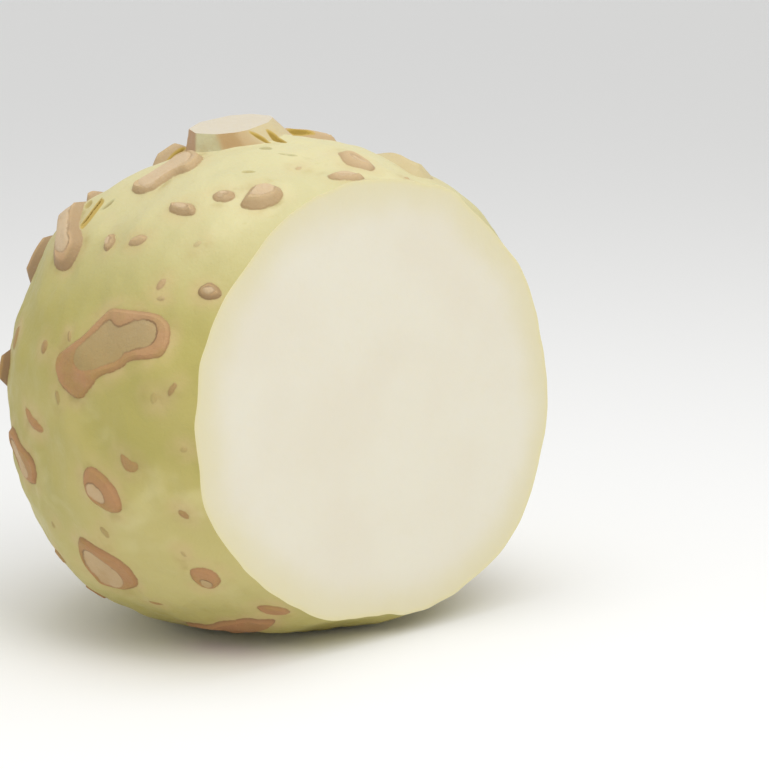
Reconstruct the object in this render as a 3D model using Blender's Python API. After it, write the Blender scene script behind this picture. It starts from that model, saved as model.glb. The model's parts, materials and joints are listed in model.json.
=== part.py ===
"""A celeriac root with one side sliced away, standing on its own flat spot.

The root grew as one piece, so it is one solid: a broad, slightly lopsided globe with the cut stump of
its leaf crown on top, knobs and scars where side roots were trimmed off, a flat cut face and a small
flat base.

Frame: metres, +Z up along the growth axis, origin in the plane of the base under the globe's centre,
+X square to the cut face. An azimuth turns counter-clockwise from +X, seen from above, and a latitude
rises from the globe's centre. Both are in degrees.
"""

import math
from collections import namedtuple

import bmesh
import bpy
import numpy as np
from mathutils import Vector, geometry

# Driving dimensions, in metres.
GLOBE_RADIUS = 0.0605
HEIGHT_ABOVE_CENTRE = 0.058
DEPTH_BELOW_CENTRE = 0.053
BASE_TRIM = 0.0007  # how much of the lowest point is flattened where the root stands
CUT_FROM_AXIS = 0.0312
CROWN_TOP = 0.0616  # top of the crown's stump above the globe's centre

CENTRE_HEIGHT = DEPTH_BELOW_CENTRE - BASE_TRIM

# The globe's profile is a superellipse, a little squarer below the middle than above it.
SQUARENESS_ABOVE = 2.0
SQUARENESS_BELOW = 2.3

# Broad swellings and hollows that make the globe lopsided.
Swell = namedtuple("Swell", "azimuth latitude spread rise")
SWELLS = (
    Swell(-30, 45, 35, 0.0015),
    Swell(-45, -35, 35, -0.0040),
    Swell(-100, -40, 35, 0.0020),
    Swell(-130, 40, 35, 0.0015),
    Swell(-126, 37, 15, 0.0022),
    Swell(40, 40, 35, 0.0015),
    Swell(45, -20, 35, 0.0045),
    Swell(120, 15, 32, -0.0020),
    Swell(165, -15, 34, 0.0022),
    Swell(-170, 40, 26, -0.0016),
    Swell(-147, 53, 16, -0.0022),
    Swell(54, 31, 12, 0.0004),
    Swell(79, 70, 7, -0.0012),
)

# The crown's stump: a cone that is sliced nearly level.
CROWN_X = -0.0066
CROWN_Y = -0.0074
CROWN_FOOT_RADIUS = 0.0130
CROWN_WALL = 0.0052  # how far in from the foot the wall reaches its full rise
CROWN_RISE = 0.0090
CROWN_TILT = 10
CROWN_TILT_AZIMUTH = -90

# Knobs and trimmed side roots: an oval foot, long by wide, its long axis turned from due east towards
# the crown, rising to a top that is that share of the foot's size.
Knob = namedtuple("Knob", "azimuth latitude long wide turn rise top")
KNOBS = (
    # beside and behind the crown
    Knob(-101, 62.5, 0.0190, 0.0090, 100, 0.0016, 0.60),
    Knob(-151, 63.5, 0.0120, 0.0090, 100, 0.0036, 0.40),
    Knob(103, 78.5, 0.0150, 0.0065, 36, 0.0022, 0.45),
    # shoulder
    Knob(-116, 40, 0.0270, 0.0095, -27, 0.0019, 0.50),
    Knob(-140, 45, 0.0130, 0.0090, 15, 0.0026, 0.35),
    Knob(-135, 30, 0.0140, 0.0085, 75, 0.0026, 0.40),
    Knob(-47, 54.5, 0.0105, 0.0074, 18, 0.0022, 0.55),
    Knob(-72.5, 50, 0.0066, 0.0046, 0, 0.0015, 0.40),
    Knob(-61, 54.5, 0.0050, 0.0040, 5, 0.0013, 0.35),
    Knob(4, 66.5, 0.0100, 0.0066, -72, 0.0012, 0.40),
    Knob(-12, 60.5, 0.0095, 0.0050, -3, 0.0013, 0.40),
    Knob(43, 61.5, 0.0150, 0.0080, -80, 0.0022, 0.50),
    Knob(-93, 40, 0.0055, 0.0040, -60, 0.0012, 0.35),
    Knob(-82, 41, 0.0046, 0.0034, 25, 0.0010, 0.35),
    Knob(-57.5, 31, 0.0056, 0.0042, 0, 0.0014, 0.40),
    # flank and underside
    Knob(-77, 17, 0.0300, 0.0150, 28, 0.0011, 0.70),
    Knob(-126, 7, 0.0095, 0.0060, -80, 0.0022, 0.45),
    Knob(-103, 0.5, 0.0105, 0.0040, -30, 0.0007, 0.50),
    Knob(-110, -9, 0.0180, 0.0080, -50, 0.0011, 0.65),
    Knob(-73, -4, 0.0056, 0.0042, -40, 0.0006, 0.50),
    Knob(-80, -11, 0.0125, 0.0080, -48, 0.0011, 0.65),
    Knob(-87, -30, 0.0175, 0.0100, -52, 0.0012, 0.70),
    Knob(-60, -32.5, 0.0072, 0.0056, -30, 0.0010, 0.60),
    Knob(-44, -47, 0.0078, 0.0046, -15, 0.0009, 0.60),
    Knob(-64, -57, 0.0240, 0.0095, 15, 0.0010, 0.65),
    # far side
    Knob(72, 38, 0.0180, 0.0090, 35, 0.0016, 0.60),
    Knob(96, 8, 0.0120, 0.0080, -40, 0.0012, 0.65),
    Knob(78, -28, 0.0160, 0.0095, 55, 0.0012, 0.65),
    Knob(122, 48, 0.0095, 0.0060, 10, 0.0018, 0.50),
    Knob(130, -12, 0.0200, 0.0110, -25, 0.0013, 0.70),
    Knob(155, 22, 0.0150, 0.0085, 60, 0.0016, 0.60),
    Knob(158, -38, 0.0130, 0.0085, 20, 0.0012, 0.65),
    Knob(-172, 52, 0.0130, 0.0080, -50, 0.0024, 0.50),
    Knob(-166, 8, 0.0120, 0.0070, 75, 0.0012, 0.60),
    Knob(-150, -22, 0.0165, 0.0090, -35, 0.0013, 0.65),
)

# The mesh: evenly spread points, and closer rings of points round the crown and every knob.
GLOBE_POINTS = 1700
RING_SPACING = 0.0019  # between neighbours on one ring
FEWEST_ON_RING = 8
SMALLEST_GAP = 0.0009
OUTER_RING = 1.2  # the ring that each knob has outside its foot, as a share of the foot
FEATURE_MARGIN = 1.4  # the spread points keep this far from a knob, as a share of its foot
BEYOND_CUT = 0.004  # the skin is meshed this far beyond the cut face before it is sliced
SNAP = 0.0002  # a point this near to a slicing plane is moved onto it first
ON_PLANE = 0.000001
SAME_PLACE = 1e-7  # two directions this close are one

SKIN_COLOUR = (0.55, 0.48, 0.22, 1.0)
SKIN_ROUGHNESS = 0.55


def direction(azimuth, latitude):
    """The unit vector at an azimuth and a latitude in degrees."""
    a = math.radians(azimuth)
    b = math.radians(latitude)
    return np.array([math.cos(a) * math.cos(b), math.sin(a) * math.cos(b), math.sin(b)])


def smooth_step(t):
    """0 at and below 0, 1 at and above 1, and level at both ends."""
    t = np.clip(t, 0, 1)
    return t * t * (3 - 2 * t)


def globe_radius(points):
    """How far the globe's surface lies from its centre along each unit vector."""
    above = points[:, 2] > 0
    half_height = np.where(above, HEIGHT_ABOVE_CENTRE, DEPTH_BELOW_CENTRE)
    share_above = smooth_step(points[:, 2] + 0.5)
    power = SQUARENESS_BELOW + (SQUARENESS_ABOVE - SQUARENESS_BELOW) * share_above
    outwards = np.hypot(points[:, 0], points[:, 1]) / GLOBE_RADIUS
    upwards = np.abs(points[:, 2]) / half_height
    radius = (outwards**power + upwards**power) ** (-1 / power)
    for swell in SWELLS:
        away = np.arccos(np.clip(points @ direction(swell.azimuth, swell.latitude), -1, 1))
        radius += swell.rise * np.exp(-((away / math.radians(swell.spread)) ** 2))
    return radius


def tangent_axes(azimuth, latitude):
    """The globe's outward direction there, east of it, and towards the crown."""
    middle = direction(azimuth, latitude)
    east = direction(azimuth + 90, 0)
    return middle, east, np.cross(middle, east)


def knob_reach(points, knob):
    """0 at the knob's middle, 1 on the rim of its foot, more outside it."""
    middle, east, north = tangent_axes(knob.azimuth, knob.latitude)
    radius = globe_radius(middle[None])[0]
    forward = np.maximum(points @ middle, 0.2)
    across = radius * (points @ east) / forward
    along = radius * (points @ north) / forward
    turn = math.radians(knob.turn)
    lengthwise = across * math.cos(turn) + along * math.sin(turn)
    sideways = along * math.cos(turn) - across * math.sin(turn)
    return np.hypot(lengthwise / (knob.long / 2), sideways / (knob.wide / 2))


def crown_distance(points, ground):
    """Distance from the crown's own upright axis of the globe's surface along each unit vector."""
    distance = np.hypot(points[:, 0] * ground - CROWN_X, points[:, 1] * ground - CROWN_Y)
    return np.where(points[:, 2] > 0, distance, np.inf)


def root_radius(points):
    """The finished surface's distance from the globe's centre, before the three flats are sliced."""
    ground = globe_radius(points)
    radius = ground.copy()
    for knob in KNOBS:
        side_width = 1 - knob.top
        radius += knob.rise * smooth_step((1 - knob_reach(points, knob)) / side_width)
    inside_foot = CROWN_FOOT_RADIUS - crown_distance(points, ground)
    return radius + CROWN_RISE * np.clip(inside_foot / CROWN_WALL, 0, 1)


def spread_points(count):
    """Unit vectors spread evenly over the whole globe along a spiral."""
    index = np.arange(count)
    height = 1 - (2 * index + 1) / count
    turn = index * math.pi * (3 - math.sqrt(5))
    outwards = np.sqrt(1 - height**2)
    return np.stack([np.cos(turn) * outwards, np.sin(turn) * outwards, height], axis=1)


def ring(long, wide, offset):
    """Points round an ellipse centred on the origin."""
    around = math.pi * (long + wide) / 2
    count = max(FEWEST_ON_RING, round(around / RING_SPACING))
    angle = 2 * math.pi * (np.arange(count) + offset) / count
    return np.stack([np.cos(angle) * long / 2, np.sin(angle) * wide / 2], axis=1)


def knob_points(knob):
    """Unit vectors on rings outside the knob's foot, on it, halfway up the side and round the top."""
    middle, east, north = tangent_axes(knob.azimuth, knob.latitude)
    radius = globe_radius(middle[None])[0]
    halfway = (1 + knob.top) / 2
    rings = [np.zeros((1, 2))]
    for size, offset in ((OUTER_RING, 0.5), (1, 0), (halfway, 0.5), (knob.top, 0)):
        rings.append(ring(knob.long * size, knob.wide * size, offset))
    flat = np.concatenate(rings) / radius
    turn = math.radians(knob.turn)
    lengthwise = east * math.cos(turn) + north * math.sin(turn)
    sideways = north * math.cos(turn) - east * math.sin(turn)
    points = middle + flat[:, :1] * lengthwise + flat[:, 1:] * sideways
    return points / np.linalg.norm(points, axis=1)[:, None]


def crown_points():
    """Unit vectors on rings at the foot of the crown's stump and at the top of its wall."""
    rings = [np.zeros((1, 2))]
    for radius, offset in (
        (CROWN_FOOT_RADIUS, 0),
        (CROWN_FOOT_RADIUS - CROWN_WALL, 0),
        (CROWN_FOOT_RADIUS / 3, 0),
    ):
        rings.append(ring(2 * radius, 2 * radius, offset))
    flat = np.concatenate(rings) + [CROWN_X, CROWN_Y]
    points = np.concatenate([flat, np.full((len(flat), 1), HEIGHT_ABOVE_CENTRE)], axis=1)
    for _ in range(3):
        unit = points / np.linalg.norm(points, axis=1)[:, None]
        points[:, 2] = (unit * globe_radius(unit)[:, None])[:, 2]
    return points / np.linalg.norm(points, axis=1)[:, None]


def mesh_points():
    """Every direction in which the mesh has a vertex, none closer than SMALLEST_GAP to another."""
    knobs = np.concatenate([knob_points(knob) for knob in KNOBS])
    knobs = knobs[crown_distance(knobs, globe_radius(knobs)) > CROWN_FOOT_RADIUS]
    spread = spread_points(GLOBE_POINTS)
    free = crown_distance(spread, globe_radius(spread)) > CROWN_FOOT_RADIUS + RING_SPACING
    for knob in KNOBS:
        free &= knob_reach(spread, knob) > FEATURE_MARGIN
    wanted = np.concatenate([crown_points(), knobs, spread[free]])
    wanted = wanted[wanted[:, 0] * globe_radius(wanted) < CUT_FROM_AXIS + BEYOND_CUT]
    nearest = math.cos(SMALLEST_GAP / GLOBE_RADIUS)
    kept = wanted[:1]
    for point in wanted[1:]:
        if (kept @ point).max() < nearest:
            kept = np.concatenate([kept, point[None]])
    return kept


def make_skin_mesh(points):
    """A skin of triangles through the root's surface along each unit vector, left open beyond the cut."""
    flattened = points[:, 1:] / (1 - points[:, :1])
    joined = geometry.delaunay_2d_cdt([Vector(place) for place in flattened], [], [], 0, SAME_PLACE)
    faces, sources = joined[2], joined[3]
    surface = points * root_radius(points)[:, None] + [0, 0, CENTRE_HEIGHT]
    mesh = bmesh.new()
    corners = [mesh.verts.new(surface[source[0]]) for source in sources]
    for face in faces:
        mesh.faces.new([corners[index] for index in reversed(face)])
    return mesh


def slice_off(mesh, point, outward):
    """Cuts away what lies beyond a plane and closes the cut with one flat face."""
    for vertex in mesh.verts:
        beyond = (vertex.co - point).dot(outward)
        if abs(beyond) < SNAP:
            vertex.co -= beyond * outward
    everything = list(mesh.verts) + list(mesh.edges) + list(mesh.faces)
    bmesh.ops.bisect_plane(
        mesh, geom=everything, dist=ON_PLANE, plane_co=point, plane_no=outward, clear_outer=True
    )
    rim = [edge for edge in mesh.edges if edge.is_boundary]
    bmesh.ops.holes_fill(mesh, edges=rim, sides=0)


def make_skin():
    material = bpy.data.materials.new("celeriac_skin")
    material.use_nodes = True
    shader = material.node_tree.nodes["Principled BSDF"]
    shader.inputs["Base Color"].default_value = SKIN_COLOUR
    shader.inputs["Roughness"].default_value = SKIN_ROUGHNESS
    shader.inputs["Metallic"].default_value = 0.0
    return material


def make_root():
    mesh = make_skin_mesh(mesh_points())
    slice_off(mesh, Vector((CUT_FROM_AXIS, 0, 0)), Vector((1, 0, 0)))
    crown_slope = Vector(direction(CROWN_TILT_AZIMUTH, 90 - CROWN_TILT))
    slice_off(mesh, Vector((CROWN_X, CROWN_Y, CENTRE_HEIGHT + CROWN_TOP)), crown_slope)
    slice_off(mesh, Vector((0, 0, 0)), Vector((0, 0, -1)))
    bmesh.ops.recalc_face_normals(mesh, faces=list(mesh.faces))

    data = bpy.data.meshes.new("celeriac_root")
    mesh.to_mesh(data)
    mesh.free()
    data.materials.append(make_skin())
    data.shade_smooth()
    data.set_sharp_from_angle(angle=math.radians(40))
    root = bpy.data.objects.new("celeriac_root", data)
    bpy.context.scene.collection.objects.link(root)
    return root


def main():
    for old in list(bpy.data.objects):
        bpy.data.objects.remove(old)
    make_root()


main()
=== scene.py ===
"""The looks of the celeriac root: its skin, scars, trimmed crown and cut flesh, in plain studio light.

The root is one closed mesh that replaces the CAD solid and has its shape: the same lopsided globe, sliced by
the same planes. Design lengths are in millimetres on a root as wide as DESIGN_WIDTH, and the frame's own
width turns them into metres. An azimuth turns counter-clockwise from +X, seen from above, and a latitude
rises from the globe's centre. Both are in degrees.
"""

import json
import math
import random
from collections import namedtuple

import bmesh
import bpy
import numpy as np
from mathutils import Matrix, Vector, geometry, kdtree


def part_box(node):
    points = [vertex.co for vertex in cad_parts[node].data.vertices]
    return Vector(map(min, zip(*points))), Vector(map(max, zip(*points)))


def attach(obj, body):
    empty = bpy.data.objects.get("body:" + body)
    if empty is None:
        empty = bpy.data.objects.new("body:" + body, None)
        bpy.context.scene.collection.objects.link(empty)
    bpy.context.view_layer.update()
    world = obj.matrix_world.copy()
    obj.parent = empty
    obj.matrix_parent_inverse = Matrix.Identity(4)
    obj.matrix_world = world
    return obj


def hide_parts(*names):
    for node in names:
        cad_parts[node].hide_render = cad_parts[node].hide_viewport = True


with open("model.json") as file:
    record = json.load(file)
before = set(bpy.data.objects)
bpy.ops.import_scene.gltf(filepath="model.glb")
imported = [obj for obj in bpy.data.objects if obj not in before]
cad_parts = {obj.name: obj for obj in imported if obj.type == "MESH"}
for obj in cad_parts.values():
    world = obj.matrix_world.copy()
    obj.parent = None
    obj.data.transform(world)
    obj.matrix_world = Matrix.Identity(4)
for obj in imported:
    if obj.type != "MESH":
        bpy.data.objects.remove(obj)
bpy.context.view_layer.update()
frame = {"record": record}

NODE = "celeriac_root"
DESIGN_WIDTH = 122.2
low_corner, high_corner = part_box(NODE)
SCALE = (high_corner.y - low_corner.y) / DESIGN_WIDTH  # metres in one design millimetre
mounts = {mount["name"]: mount for mount in frame["record"]["mounts"]}
CUT = mounts["cut_face"]["pos_m"][0] / SCALE
BASE = mounts["base"]["pos_m"][2] / SCALE

# ----------------------------------------
# The globe

GLOBE_RADIUS = 60.5
HEIGHT_ABOVE_CENTRE = 58
DEPTH_BELOW_CENTRE = 53
BASE_TRIM = 0.7
CENTRE_HEIGHT = BASE + DEPTH_BELOW_CENTRE - BASE_TRIM
SQUARENESS_ABOVE = 2.0
SQUARENESS_BELOW = 2.3

# A wide swelling, or a hollow where rise is below 0. It fades over spread degrees.
Swell = namedtuple("Swell", "azimuth latitude spread rise")
SWELLS = (
    Swell(-30, 45, 35, 1.5),
    Swell(-45, -35, 35, -4.0),
    Swell(-100, -40, 35, 2.0),
    Swell(-130, 40, 35, 1.5),
    Swell(-126, 37, 15, 2.2),
    Swell(40, 40, 35, 1.5),
    Swell(45, -20, 35, 4.5),
    Swell(120, 15, 32, -2.0),
    Swell(165, -15, 34, 2.2),
    Swell(-170, 40, 26, -1.6),
    Swell(-147, 53, 16, -2.2),
    Swell(54, 31, 12, 0.4),
    Swell(79, 70, 7, -1.2),
)

# Low waves over the whole skin: (wavelength, height, how many of that size).
WAVES = ((26, 0.22, 7), (13, 0.10, 9), (6, 0.035, 10))
WAVE_SEED = 4

# ----------------------------------------
# The crown's stump: planes round a tilted top. Each side has the azimuth that it faces, its distance from
# the middle of the top, and how far it leans back from upright.

CROWN_MIDDLE = np.array([-7.6, -7.4, 61.6])
CROWN_TILT = 10
CROWN_TILT_AZIMUTH = -90
CROWN_OUTWARD_LATITUDE = 90 - CROWN_TILT
TALLEST_STUMP = 1.15 * HEIGHT_ABOVE_CENTRE  # from the globe's centre, before its top is cut
CROWN_REACH = 17  # no part of the stump is further than this from its middle
CROWN_CORE = 3.5  # how much sooner its flesh turns pale than the big cut's
CORNER_BLEND = 0.25  # how softly one side's colour gives way to the next

Side = namedtuple("Side", "azimuth distance lean colour")
SIDES = (
    Side(-151, 8.9, 12, "tan"),
    Side(-115, 8.9, 6, "russet"),
    Side(-84, 8.95, 14, "green"),
    Side(-56, 9.35, 30, "brown"),
    Side(-30, 9.7, 42, "fawn"),
    Side(-3, 9.2, 50, "cream"),
    Side(27, 10.0, 51, "cream"),
    Side(58, 10.6, 46, "blush"),
    Side(90, 9.6, 36, "green"),
    Side(124, 9.5, 26, "brown"),
    Side(166, 8.9, 18, "fawn"),
)
SIDE_COLOURS = {
    "tan": (0.52, 0.36, 0.19),
    "russet": (0.47, 0.28, 0.14),
    "green": (0.58, 0.54, 0.31),
    "brown": (0.42, 0.265, 0.105),
    "fawn": (0.47, 0.33, 0.15),
    "cream": (0.57, 0.475, 0.265),
    "blush": (0.60, 0.43, 0.29),
}

# ----------------------------------------
# Scars, knobs, warts and slits


def oval(long, wide, turn, seed, corners=9):
    """The corners of an uneven oval round its middle. Its long axis is turned from due east to the crown."""
    dice = random.Random(seed)
    points = []
    for index in range(corners):
        angle = math.tau * (index + dice.uniform(-0.22, 0.22)) / corners
        reach = dice.uniform(0.90, 1.10)
        x = reach * long / 2 * math.cos(angle)
        y = reach * wide / 2 * math.sin(angle)
        a = math.radians(turn)
        points.append((x * math.cos(a) - y * math.sin(a), x * math.sin(a) + y * math.cos(a)))
    return tuple(points)


def shrunk(outline, share, east=0, north=0):
    """The same outline drawn smaller, and moved."""
    return tuple((x * share + east, y * share + north) for x, y in outline)


# outline and core are corners in millimetres east and north (towards the crown) of the scar's middle. The
# scar rises by rise over a side that is slope wide. A core is set off by a thin groove and lies sunk lower.
# tone is 0 for an olive-brown scar and 1 for a pink-brown one. pale is 0 for a tan core and 1 for cream.
Scar = namedtuple("Scar", "azimuth latitude outline rise slope tone core sunk pale", defaults=(None, 0, 0))

BIG_OUTLINE = (
    (-2, 9.7), (2, 9.6), (6.5, 9.8), (11.5, 9.8), (14.4, 7.8), (15.4, 4.5), (15, 0.8), (11.5, -0.4),
    (7, -0.8), (4, -3.4), (-1, -5.2), (-2.6, -7.6), (-5.6, -10.7), (-8.4, -10.8), (-13.4, -8.4),
    (-15.4, -5), (-15.2, -1.8), (-11, 0.7), (-8, 2.6), (-5, 6.6),
)
BIG_CORE = (
    (-1.8, 6.8), (-0.8, 7.1), (0.4, 6.1), (1.7, 5.6), (3.8, 6.4), (6.1, 7.6), (9.3, 8.2), (11.3, 7.3),
    (12.1, 5), (11.6, 3), (9.9, 2.1), (6.8, 1.1), (4.9, 0.5), (3.7, -1.1), (0.7, -2.5), (-2.7, -4.1),
    (-6.2, -4.6), (-8.3, -3.7), (-9, -2.3), (-8.2, 0), (-5.5, 2.6), (-3.3, 5.1),
)
OVAL_OUTLINE = (
    (-3.6, 4.5), (-1.6, 5), (1, 3.4), (3.8, 0.9), (5.5, -2.4), (5, -4.5), (2, -5), (-2, -3.8), (-4.3, -1.6),
    (-4.9, 2),
)
OVAL_CORE = (
    (-3.4, 1), (-2, 1.4), (-0.2, 0.3), (1.1, -1), (1.4, -2.4), (0, -3), (-2, -2.2), (-3.6, -0.9),
)
LOW_OUTLINE = (
    (-4.2, 8), (-2.2, 8.6), (2.2, 6.4), (5.6, 4.2), (7.2, 0.6), (6.9, -3.6), (5, -6.2), (1, -7.5),
    (-3.8, -7.4), (-6.4, -6), (-7, -2), (-6.4, 3.8),
)
LOW_CORE = (
    (-3.6, 5.2), (-2, 5.5), (-0.4, 4.8), (1, 3.3), (1.8, 1.2), (2.4, -1.5), (2.3, -4.6), (0.4, -6.3),
    (-2.8, -6.6), (-5, -5.2), (-5.6, -1.6), (-5.2, 2.4),
)
RING_OUTLINE = (
    (-2.4, 2.6), (-0.9, 3.3), (1, 3), (3, 1.4), (3.7, -1.2), (2.4, -3.4), (0.6, -4.3), (-1.6, -3.2),
    (-2.8, -0.4),
)
TRIANGLE_OUTLINE = (
    (-2.3, 2.4), (-1, 1.9), (0.5, 1), (2, 0.6), (2, -0.7), (0.6, -1.7), (-1.4, -1.4), (-2.5, 0.4),
)
LEFT_OUTLINE = (
    (-6.6, 6.4), (-3.4, 6.2), (0, 4), (3.4, 2), (5.6, -0.4), (6.2, -3), (5, -5.2), (1, -5.3), (-3.6, -2.4),
    (-7.2, 2.6),
)
LEFT_CORE = ((-5, 4), (-3, 3.6), (-0.6, 1.2), (1.6, -1.4), (2.4, -3.6), (0.6, -4.2), (-2.8, -1.2), (-5.4, 2))
STREAK_OUTLINE = ((-5, 2.7), (-2, 2), (1.4, 0.4), (4.5, -1.1), (4, -2.2), (1, -1.8), (-2, -0.2))
SHOULDER_OUTLINE = (
    (-13, 5), (-9, 7.6), (-4, 7), (0, 3.8), (4.6, 1.4), (8.6, 0.6), (11.8, -1.4), (12.6, -4.6), (12, -7.6),
    (10, -9.2), (7, -9.2), (3.6, -7), (0, -4.4), (-5, -2.6), (-10, -0.6),
)
SHOULDER_TOP = (
    (-9, 3.4), (-5, 4.4), (0, 1.4), (6, -1), (9.6, -2.6), (9.4, -5.4), (6, -6.2), (0, -2.2), (-6, 0),
)
RIDGE_OUTLINE = (
    (-4.5, -6), (-3, -6.8), (0.5, -6.3), (2.4, -4.3), (2.9, -1.3), (3.6, 1.4), (6.6, 3.2), (6.2, 6.2),
    (3.5, 9.5), (-2, 11.5), (-6, 10), (-7.3, 7.5), (-6.2, 3.5), (-4.7, -0.5), (-4.9, -4),
)
RIDGE_TOP = (
    (-3.8, -4), (-1.1, -5.2), (1.2, -4.8), (1.9, -2.7), (1.9, 0.7), (2.4, 3.8), (3.2, 5.6), (0.5, 8.5),
    (-3.5, 9.8), (-6, 7.5), (-5.2, 3.5), (-3.9, -0.5),
)
FLAT_WART_OUTLINE = (
    (-4.8, -1.2), (-3.6, 1.4), (-2.2, 3.8), (0.8, 4.6), (3.4, 3.5), (4.6, 1.2), (3.6, -1.4), (0.4, -3.5),
    (-2.6, -3.4), (-4.4, -2.6),
)
FLAT_WART_TOP = (
    (-2.8, 1), (-1.6, 2.8), (0.8, 3.4), (2.7, 2.3), (2.5, 0.6), (1, -0.6), (-1.4, -1), (-2.8, -0.2),
)
TOP_RIGHT_OUTLINE = (
    (-7.2, -3.6), (-5, 0.4), (-3.4, 3.8), (1.2, 7.6), (4.2, 6.4), (4.2, 1), (3.4, -3.6), (2, -7.4),
    (-3, -6.4),
)

SCARS = (
    # beside and behind the crown
    Scar(-100, 60, RIDGE_OUTLINE, 1.4, 1.1, 0.75, RIDGE_TOP, 0.0, 0.85),
    Scar(-151, 63.5, oval(14, 10.5, 100, 3), 4.3, 4.2, 0.10),
    Scar(103, 78.5, oval(15, 5.5, 36, 5), 2.1, 1.6, 0.80, oval(9, 2.2, 36, 6), 0.0, 0.3),
    # shoulder
    Scar(-116, 40, SHOULDER_OUTLINE, 1.7, 2.2, 0.90, SHOULDER_TOP, 0.0, 0.6),
    Scar(-141, 46.3, oval(13, 9, 15, 7), 3.2, 3.2, 0.80),
    Scar(-135, 30, oval(14, 8.5, 75, 8), 2.4, 2.6, 0.70),
    Scar(-47, 54.5, FLAT_WART_OUTLINE, 2.0, 1.9, 0.40, FLAT_WART_TOP, 0.0, 0.40),
    Scar(-73, 50, oval(7.2, 3.8, -6, 11), 1.5, 1.1, 0.55, oval(3.8, 1.4, -4, 12), 0.0, 0.45),
    Scar(-61, 54.5, oval(5.2, 3.8, 5, 13), 1.3, 1.5, 0.30, oval(2.4, 1.4, 25, 14), 0.0, 0.65),
    Scar(5, 66.5, oval(9.6, 6.8, -70, 15), 1.1, 1.6, 0.60, oval(4.6, 1.2, -70, 16), 0.35, 0.1),
    Scar(-12, 60.8, oval(9.2, 4.2, -5, 17), 1.2, 1.4, 0.55, oval(5, 1.8, -5, 18), 0.0, 0.4),
    Scar(47, 61.5, TOP_RIGHT_OUTLINE, 2.0, 3.8, -0.6),
    Scar(-93, 40, oval(5.2, 3.4, -60, 21), 1.1, 1.0, 0.20, oval(2.6, 1.6, -60, 22), 0.0, 0.5),
    Scar(-82, 41, oval(4.8, 3.0, 25, 23), 0.8, 1.0, 0.30),
    Scar(-57.5, 31, oval(5.4, 4.0, -10, 25), 1.2, 1.1, 0.30, oval(2.8, 1.8, -10, 26), 0.0, 0.35),
    # flank, as far down as the resting spot
    Scar(-80, 17, BIG_OUTLINE, 0.7, 0.9, 0.75, BIG_CORE, 0.22, 0.1),
    Scar(-126, 7, oval(9.5, 6, -80, 31), 1.9, 1.8, 0.60),
    Scar(-103, 0, STREAK_OUTLINE, 0.5, 0.7, 0.60),
    Scar(-109, -9, LEFT_OUTLINE, 0.8, 1.0, 0.80, LEFT_CORE, 0.2, 0.8),
    Scar(-73, -5, TRIANGLE_OUTLINE, 0.35, 0.6, 0.45),
    Scar(-81, -11, OVAL_OUTLINE, 0.7, 0.9, 0.80, OVAL_CORE, 0.2, 0.8),
    Scar(-88, -31, LOW_OUTLINE, 0.7, 0.9, 0.80, LOW_CORE, 0.25, 0.75),
    Scar(-61, -32, RING_OUTLINE, 0.6, 0.8, 0.80, shrunk(RING_OUTLINE, 0.4, 0.2, -1.6), 0.15, 0.5),
    Scar(-44, -47, oval(7.6, 4.2, -18, 35), 0.6, 0.8, 0.70),
    Scar(-64, -57, oval(24, 9, 15, 36, 11), 0.8, 0.9, 0.85),
    Scar(-105, -30, oval(4.6, 2.4, -50, 37), 0.4, 0.6, 0.20),
    Scar(-110, -43, oval(6.8, 3.6, -60, 38), 0.8, 0.8, 0.90),
    # far side
    Scar(72, 38, oval(18, 9, 35, 41, 11), 1.2, 1.3, 0.75, oval(10, 4.4, 35, 42, 10), 0.2, 0.3),
    Scar(96, 8, oval(12, 8, -40, 43, 10), 0.8, 1.0, 0.60, oval(6, 3.6, -40, 44), 0.2, 0.8),
    Scar(78, -28, oval(16, 9.5, 55, 45, 10), 0.8, 1.0, 0.80, oval(9, 4.8, 55, 46), 0.25, 0.7),
    Scar(122, 48, oval(9.5, 6, 10, 47), 1.6, 1.6, 0.50, oval(4.6, 2.4, 10, 48), 0.0, 0.5),
    Scar(130, -12, oval(20, 11, -25, 49, 12), 0.8, 1.0, 0.70, oval(12, 6, -25, 50, 11), 0.25, 0.2),
    Scar(155, 22, oval(15, 8.5, 60, 51, 10), 1.1, 1.2, 0.75, oval(8, 3.8, 60, 52, 10), 0.2, 0.4),
    Scar(158, -38, oval(13, 8.5, 20, 53, 10), 0.8, 1.0, 0.65, oval(7, 3.6, 20, 54), 0.2, 0.8),
    Scar(-172, 52, oval(13, 8, -50, 55, 10), 2.0, 2.0, 0.60),
    Scar(-166, 8, oval(12, 7, 75, 57, 10), 0.8, 1.0, 0.70, oval(6, 3, 75, 58), 0.2, 0.7),
    Scar(-150, -22, oval(16.5, 9, -35, 59, 11), 0.9, 1.0, 0.80, oval(9, 4.4, -35, 60, 10), 0.25, 0.6),
)

# Slits where the skin has split or lifted beside the crown and the knobs. gold is 1 for a golden-olive slit
# and 0 for a faint grey-green crease, and dark is how dark its middle is.
Slit = namedtuple("Slit", "azimuth latitude outline depth gold dark")
SLIT_BY_CROWN = ((-2.6, -0.7), (-1, -0.9), (0.5, -0.7), (2.8, 0.1), (0.8, 0.9), (-1, 0.5))
WIDE_SLIT_BY_CROWN = ((-2.4, 1.5), (-0.8, -0.8), (0.8, -1.8), (3.2, -2.9), (1.7, 0), (0, 1.5))
SLIT_BEHIND_CROWN = ((3.6, 1.3), (1.4, -0.2), (-1, -1.2), (-3.4, -2), (-1, 0.3), (1.2, 1.3))
SHOULDER_HOLLOW = ((0.6, 9.6), (3.6, 4.6), (5.2, 1.6), (7.4, 1), (7, 3), (4.6, 7), (3.2, 9.5))
SHOULDER_SLIT = ((0.2, 9.6), (2.4, 6.4), (5, 1.4), (5.8, 1.4), (3.4, 6.4), (1, 9.8))
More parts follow.
